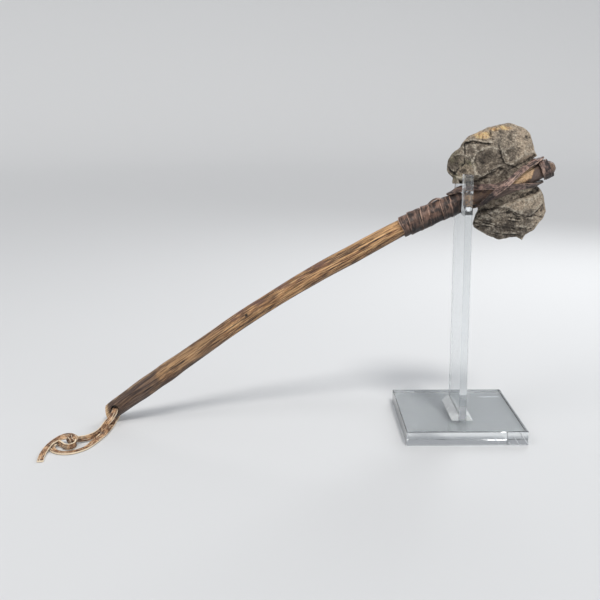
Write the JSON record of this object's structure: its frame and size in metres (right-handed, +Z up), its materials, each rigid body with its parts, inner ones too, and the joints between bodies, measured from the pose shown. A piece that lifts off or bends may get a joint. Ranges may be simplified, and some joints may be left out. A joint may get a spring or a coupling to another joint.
{
  "type": "hafted stone axe on a clear cradle stand",
  "caption": "Chipped stone axe head lashed with hide into the split end of a curved wooden haft, resting in the notch of a clear acrylic stand.",
  "frame": {"origin": "on the table, under the middle of the stand's upright", "axes": "+Z up, +X towards the axe's head end along the haft, +Y away from the side that the picture shows"},
  "size_m": [0.5358, 0.172, 0.3312],
  "materials": {
    "stone": "rough chipped grey-brown stone with an ochre patch",
    "haft_wood": "tan stick with open grain, stained dark at the butt",
    "dark_hide": "dried dark hide strip with pale worn edges",
    "thong_leather": "reddish brown leather strip with pale cut edges",
    "clear_acrylic": "clear polished acrylic"
  },
  "bodies": {
    "root": {"stone_head": "stone", "haft": "haft_wood", "collar_binding": "dark_hide", "strap_rising": "dark_hide", "strap_falling": "dark_hide", "tip_binding": "dark_hide", "wrist_thong": "thong_leather", "stand_base": "clear_acrylic", "stand_upright": "clear_acrylic", "foot_fillet_left": "clear_acrylic", "foot_fillet_right": "clear_acrylic"}
  },
  "joints": []
}
